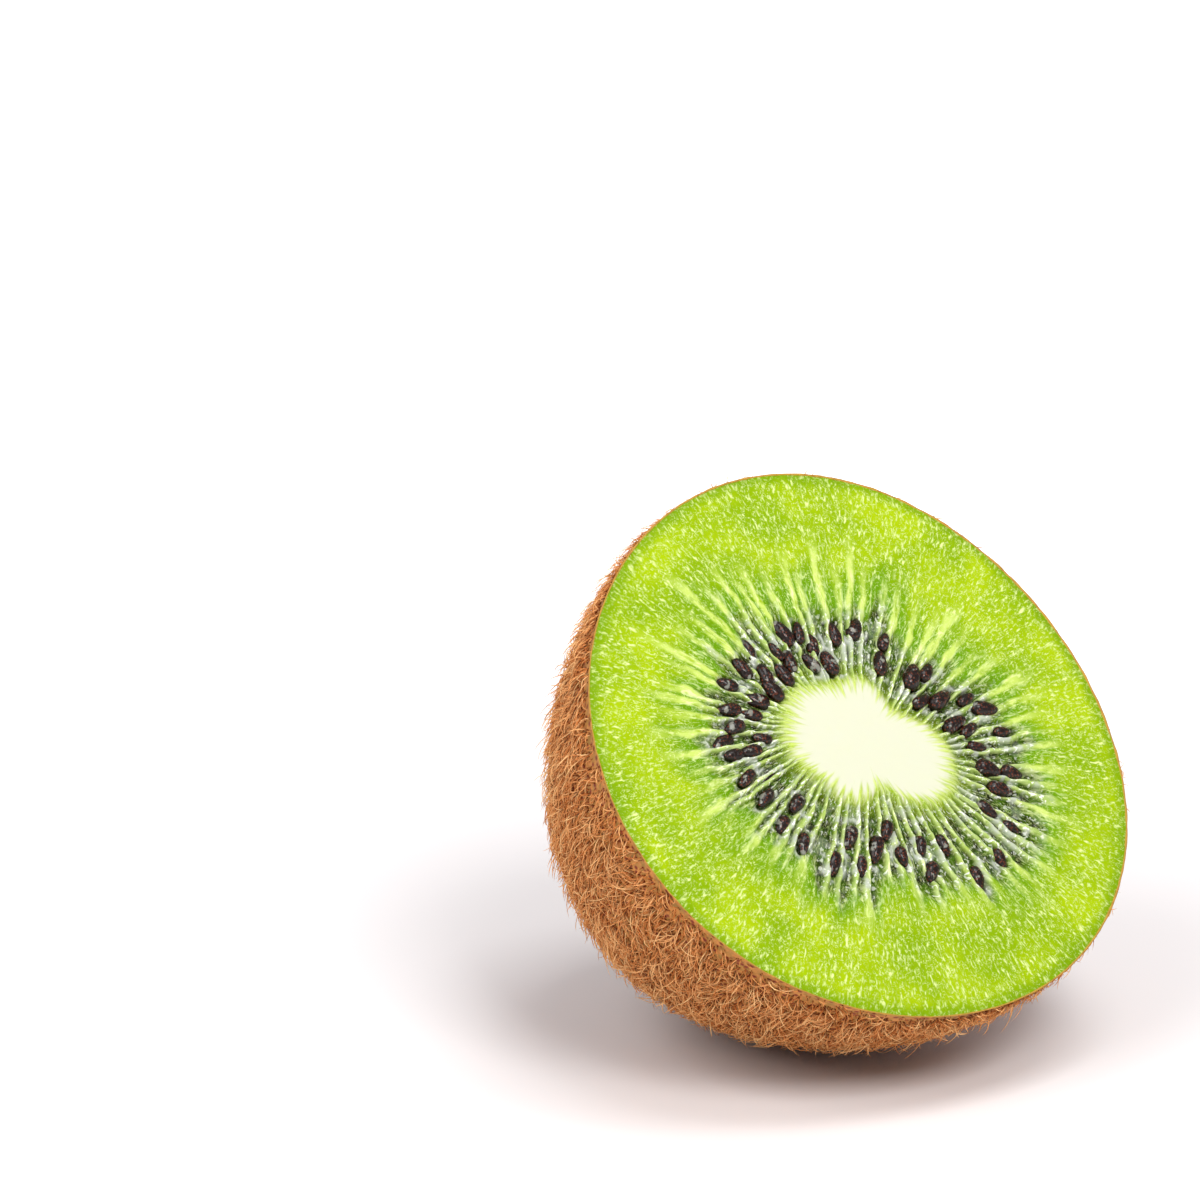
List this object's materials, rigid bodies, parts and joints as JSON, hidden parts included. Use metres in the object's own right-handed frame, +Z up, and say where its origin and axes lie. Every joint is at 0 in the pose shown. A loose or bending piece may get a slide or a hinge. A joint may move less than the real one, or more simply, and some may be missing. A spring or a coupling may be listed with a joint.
{
  "type": "kiwi fruit half",
  "caption": "Half of a kiwi fruit lying on its fuzzy brown skin, its wet green cut face with a ring of black seeds and a pale core tilted up.",
  "frame": {"origin": "on the small flat spot of the skin that the half rests on, level with the surface under it", "axes": "+Z up; the cut face looks up and towards -Y, 50 degrees from level; +X is level along the cut face, to the right when the face is seen"},
  "size_m": [0.05, 0.0444, 0.0457],
  "materials": {
    "outer_flesh": "bright green fruit flesh, wet from the knife",
    "seed_flesh": "darker, clearer green flesh round the seeds, wet",
    "core": "creamy white, firm and satin",
    "skin": "thin matt brown skin",
    "fuzz": "dense tan hairs",
    "seed": "black-brown seed coat, netted and wet"
  },
  "bodies": {
    "root": {"outer_flesh": "outer_flesh", "seed_flesh": "seed_flesh", "core": "core"}
  },
  "joints": []
}
